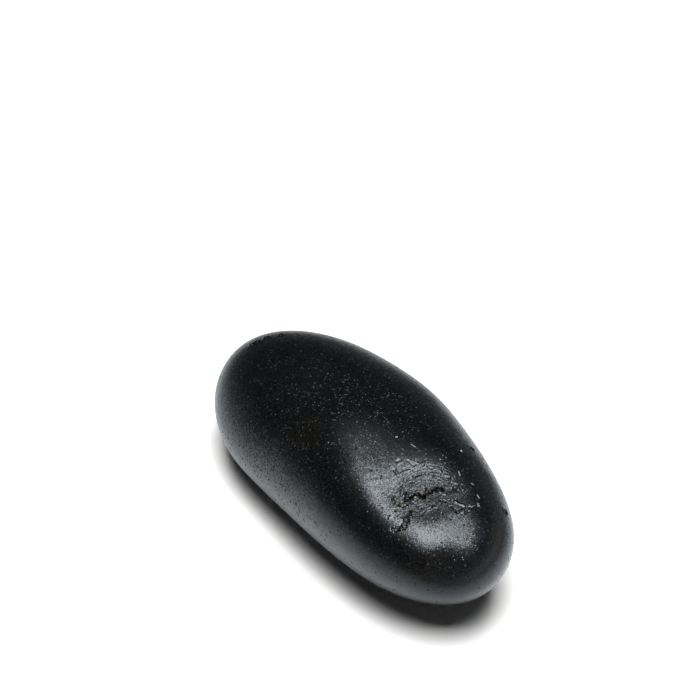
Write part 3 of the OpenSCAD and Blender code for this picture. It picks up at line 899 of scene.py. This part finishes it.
# %% Crust material
# Crumbs about 0.45 mm wide under grit of 0.3 mm: dull and broken, with an odd bright face.
CRUMB_MM, GRIT_MM = 0.45, 0.3
iron_crust, tree = new_material("weathered_iron_crust")
where = add(tree, "ShaderNodeTexCoord").outputs["Object"]
crumb = add(tree, "ShaderNodeTexVoronoi", {"Vector": where, "Scale": per_mm(CRUMB_MM)})
pick = add(tree, "ShaderNodeSeparateColor", {"Color": crumb.outputs["Color"]})
tint = add(tree, "ShaderNodeValToRGB", {"Fac": pick.outputs["Red"]})
darkest, palest = tint.color_ramp.elements
darkest.position = 0.45
darkest.color = linear("#100f0c")
palest.color = linear("#b4b1a8")
tint.color_ramp.elements.new(0.80).color = linear("#37332a")
soil_and_shade_mark = add(tree, "ShaderNodeAttribute", attribute_name="soil")
# Painted shade: the soil's nearly black colour also stands for the shade deep in the crack.
soil_with_painted_shade = add(tree, "ShaderNodeMix", {"Factor": soil_and_shade_mark.outputs["Fac"], MIX_A: tint.outputs["Color"],
                                     MIX_B: linear("#080705")}, data_type="RGBA")
grit = add(tree, "ShaderNodeTexNoise", {"Vector": where, "Scale": per_mm(GRIT_MM), "Detail": 3.0,
                                        "Roughness": 0.7})
bump = add(tree, "ShaderNodeBump", {"Height": grit.outputs["Fac"], "Strength": 0.6, "Distance": 0.15 * MM})
dull = add(tree, "ShaderNodeMapRange", {"Value": pick.outputs["Green"], "To Min": 0.35, "To Max": 0.65})
shader = add(tree, "ShaderNodeBsdfPrincipled", {"Base Color": soil_with_painted_shade.outputs[MIX_OUT],
                                                "Roughness": dull.outputs["Result"], "IOR": 1.5,
                                                "Normal": bump.outputs["Normal"]})
add(tree, "ShaderNodeOutputMaterial", {"Surface": shader.outputs["BSDF"]})
for obj in CRUSTS:
    obj.data.materials.append(iron_crust)
print("Crust nodes:", len(tree.nodes))

# %% [markdown]
# ### Feldspar
# Feldspar is a pale, glassy silicate that splits on flat faces, so it glints. It could be made
# see-through, but crystals this small look milky; a clouded grey with a low roughness and small cleavage
# steps is enough.

# %% Feldspar material
# Clouds of 0.4 mm and steps of 0.3 mm, coarser than real cleavage so that they show.
CLOUD_MM, CLEAVAGE_MM = 0.4, 0.3
feldspar, tree = new_material("feldspar_crystal")
where = add(tree, "ShaderNodeTexCoord").outputs["Object"]
milk = add(tree, "ShaderNodeTexNoise", {"Vector": where, "Scale": per_mm(CLOUD_MM), "Detail": 2.0})
tint = add(tree, "ShaderNodeValToRGB", {"Fac": milk.outputs["Fac"]})
tint.color_ramp.elements[0].color = linear("#8b8d8c")
tint.color_ramp.elements[1].color = linear("#d3d4d0")
glassy = add(tree, "ShaderNodeMapRange", {"Value": milk.outputs["Fac"], "From Min": 0.3, "From Max": 0.7,
                                          "To Min": 0.18, "To Max": 0.35})
cleavage = add(tree, "ShaderNodeTexVoronoi", {"Vector": where, "Scale": per_mm(CLEAVAGE_MM)})
steps = add(tree, "ShaderNodeBump", {"Height": cleavage.outputs["Distance"], "Strength": 0.4,
                                     "Distance": 0.03 * MM})
shader = add(tree, "ShaderNodeBsdfPrincipled", {"Base Color": tint.outputs["Color"],
                                                "Roughness": glassy.outputs["Result"], "IOR": 1.53,
                                                "Normal": steps.outputs["Normal"]})
add(tree, "ShaderNodeOutputMaterial", {"Surface": shader.outputs["BSDF"]})
for obj in crystals.values():
    obj.data.materials.append(feldspar)
print("Feldspar nodes:", len(tree.nodes))

# %% [markdown]
# ## The white table
# The stone lies on a matt white sheet that the picture shows as pure white, apart from the shadow. More
# light would wash out the black stone, so the sheet is a little paler to the camera alone. In the stone's
# gloss a pool of light is painted into the sheet's colour: bright close by and fading further out, as a lit
# table in a dark room would be.

# %% Table
# Directions in the picture: right, and away from the camera along the table.
CAMERA_AZIMUTH, CAMERA_ELEVATION = math.radians(58.7), math.radians(38.0)
right = np.array([math.cos(CAMERA_AZIMUTH), math.sin(CAMERA_AZIMUTH), 0.0])
away = np.array([-math.sin(CAMERA_AZIMUTH), math.cos(CAMERA_AZIMUTH), 0.0])
SHEET_SIDE, SHEET_FRONT, SHEET_BACK = 600.0, -400.0, 800.0
sheet_corners = [(-SHEET_SIDE, SHEET_FRONT), (SHEET_SIDE, SHEET_FRONT), (SHEET_SIDE, SHEET_BACK),
                 (-SHEET_SIDE, SHEET_BACK)]
table = new_object("table", np.array([right * r + away * a for r, a in sheet_corners]), [[0, 1, 2, 3]])
print("Sheet in mm:", 2 * SHEET_SIDE, "by", SHEET_BACK - SHEET_FRONT)

# %% Matt white sheet
# Matt card scatters light evenly and has no gloss. The pool of light painted into the card's colour round
# the stone, seen only in the gloss, has half sizes and a middle in mm, a power by which it fades, and its
# brightness in the gloss.
POOL_L, POOL_W, POOL_X, POOL_Y = 130.0, 68.0, -10.0, 15.0
POOL_FADING, POOL_BRIGHTNESS = -1.2, 1.62
CARD_WHITE, CAMERA_WHITE = 0.85, (0.65, 0.58, 0.52)
card, tree = new_material("matt_white_card")
where = add(tree, "ShaderNodeTexCoord").outputs["Object"]
pool = add(tree, "ShaderNodeVectorMath", {0: where, 1: (1 / (POOL_L * MM), 1 / (POOL_W * MM), 0.0),
                                          2: (-POOL_X / POOL_L, -POOL_Y / POOL_W, 0.0)},
           operation="MULTIPLY_ADD")
spread = add(tree, "ShaderNodeVectorMath", {0: pool.outputs["Vector"], 1: pool.outputs["Vector"]},
             operation="DOT_PRODUCT")
beyond = add(tree, "ShaderNodeMath", {0: spread.outputs["Value"], 1: 1.0}, operation="ADD")
faded = add(tree, "ShaderNodeMath", {0: beyond.outputs["Value"], 1: POOL_FADING}, operation="POWER")
# Painted light: this pool is painted into the card's colour for glossy rays, not cast by the lamp.
lit = add(tree, "ShaderNodeMath", {0: faded.outputs["Value"], 1: POOL_BRIGHTNESS}, operation="MULTIPLY")
ray = add(tree, "ShaderNodeLightPath")
mirrored = add(tree, "ShaderNodeMath", {0: ray.outputs["Is Glossy Ray"],
                                        1: ray.outputs["Is Transmission Ray"]}, operation="MAXIMUM")
in_gloss = add(tree, "ShaderNodeMix", {"Factor": mirrored.outputs["Value"], "A": CARD_WHITE,
                                       "B": lit.outputs["Value"]})
whiteness = add(tree, "ShaderNodeVectorMath", {0: ray.outputs["Is Camera Ray"], 1: CAMERA_WHITE,
                                               2: in_gloss.outputs["Result"]}, operation="MULTIPLY_ADD")
shader = add(tree, "ShaderNodeBsdfDiffuse", {"Color": whiteness.outputs["Vector"]})
add(tree, "ShaderNodeOutputMaterial", {"Surface": shader.outputs["BSDF"]})
table.data.materials.append(card)
print("Table nodes:", len(tree.nodes))

# %% [markdown]
# ## One softbox overhead
# The two broad highlights, the black crown and the soft shadow along the front all come from one large lamp
# above the stone, reaching a little towards the camera. A sun or a small lamp would give a hard shadow and
# a dot of light; an area lamp of the right size gives all three at once.

# %% Softbox
LAMP_HEIGHT, LAMP_W, LAMP_D = 2.0, 1.20, 1.48
LAMP_RIGHT, LAMP_AWAY = 0.08, -0.37
LAMP_ENERGY, LAMP_COLOUR = 54.0, (0.95, 1.0, 1.03)
lamp_data = bpy.data.lights.new("softbox", "AREA")
lamp_data.shape = "RECTANGLE"
lamp_data.size, lamp_data.size_y = LAMP_W, LAMP_D
lamp_data.energy = LAMP_ENERGY
lamp_data.color = LAMP_COLOUR
lamp = bpy.data.objects.new("softbox", lamp_data)
bpy.context.scene.collection.objects.link(lamp)
lamp_at = right * LAMP_RIGHT + away * LAMP_AWAY + np.array([0.0, 0.0, LAMP_HEIGHT])
lamp.matrix_world = Matrix.Translation(lamp_at.tolist()) @ Matrix.Rotation(CAMERA_AZIMUTH, 4, "Z")
print("Softbox in m:", LAMP_W, "by", LAMP_D, "at", lamp_at.round(2))

# %% [markdown]
# ## The dark studio
# A glossy black stone shows mostly what is round it. A studio of boxes could be built; a world that only
# the gloss sees is simpler: nearly black, with a low glow beyond the scarred end, a dim ceiling and a thin
# haze at table height. The camera sees plain white past the sheet.

# %% World
GLOW_HEADING, CEILING_HEADING = (0.85, 0.52, 0.0), (-0.20, 0.12, 0.97)
GLOW, CEILING, HAZE, ROOM = 0.52, 0.25, 0.10, 0.010
world = bpy.data.worlds.new("dark_studio")
world.use_nodes = True
tree = world.node_tree
tree.nodes.clear()
direction = add(tree, "ShaderNodeTexCoord").outputs["Generated"]
level = add(tree, "ShaderNodeSeparateXYZ", {"Vector": direction}).outputs["Z"]
towards_glow = add(tree, "ShaderNodeVectorMath", {0: direction, 1: GLOW_HEADING}, operation="DOT_PRODUCT")
glow_side = add(tree, "ShaderNodeMapRange", {"Value": towards_glow.outputs["Value"], "To Max": GLOW})
glow_low = add(tree, "ShaderNodeMapRange", {"Value": level, "From Min": 0.10, "From Max": 0.55,
                                            "To Min": 1.0, "To Max": 0.0})
glow = add(tree, "ShaderNodeMath", {0: glow_side.outputs["Result"], 1: glow_low.outputs["Result"], 2: ROOM},
           operation="MULTIPLY_ADD")
overhead = add(tree, "ShaderNodeVectorMath", {0: direction, 1: CEILING_HEADING}, operation="DOT_PRODUCT")
ceiling = add(tree, "ShaderNodeMapRange", {"Value": overhead.outputs["Value"], "From Min": 0.80,
                                           "From Max": 0.98, "To Max": CEILING})
haze = add(tree, "ShaderNodeMapRange", {"Value": level, "From Max": 0.18, "To Min": HAZE, "To Max": 0.0})
above = add(tree, "ShaderNodeMath", {0: glow.outputs["Value"], 1: ceiling.outputs["Result"]},
            operation="ADD")
room = add(tree, "ShaderNodeMath", {0: above.outputs["Value"], 1: haze.outputs["Result"]}, operation="ADD")
ray = add(tree, "ShaderNodeLightPath")
in_gloss = add(tree, "ShaderNodeMath", {0: room.outputs["Value"], 1: ray.outputs["Is Glossy Ray"]},
               operation="MULTIPLY")
strength = add(tree, "ShaderNodeMath", {0: in_gloss.outputs["Value"], 1: ray.outputs["Is Camera Ray"]},
               operation="MAXIMUM")
sky = add(tree, "ShaderNodeBackground", {"Color": linear("#ffffff"), "Strength": strength.outputs["Value"]})
add(tree, "ShaderNodeOutputWorld", {"Surface": sky.outputs["Background"]})
bpy.context.scene.world = world
print("World nodes:", len(tree.nodes))

# %% [markdown]
# ## The camera
# The photo was taken from above the scarred end, through a long lens that hardly narrows the far tip. A
# camera can be aimed with a constraint; here its three axes are worked out from two angles, and the eye
# then slides sideways and down, so that the stone sits in the picture where the photo has it.

# %% Camera
CAMERA_DISTANCE, CAMERA_LENS, SENSOR_W = 786.0, 150.0, 36.0
FRAME_RIGHT, FRAME_UP = 4.99, -44.6
back = -away * math.cos(CAMERA_ELEVATION) + np.array([0.0, 0.0, math.sin(CAMERA_ELEVATION)])
up = np.cross(back, right)
eye = (back * CAMERA_DISTANCE - right * FRAME_RIGHT - up * FRAME_UP) * MM
camera_data = bpy.data.cameras.new("camera")
camera_data.lens = CAMERA_LENS
camera_data.sensor_width = SENSOR_W
camera_data.clip_start, camera_data.clip_end = 0.01, 100.0
camera = bpy.data.objects.new("camera", camera_data)
bpy.context.scene.collection.objects.link(camera)
camera.matrix_world = Matrix([[right[i], up[i], back[i], eye[i]] for i in range(3)] + [[0, 0, 0, 1]])
bpy.context.scene.camera = camera
bpy.context.scene.view_settings.view_transform = "Standard"
print("Camera at, in m:", eye.round(3))
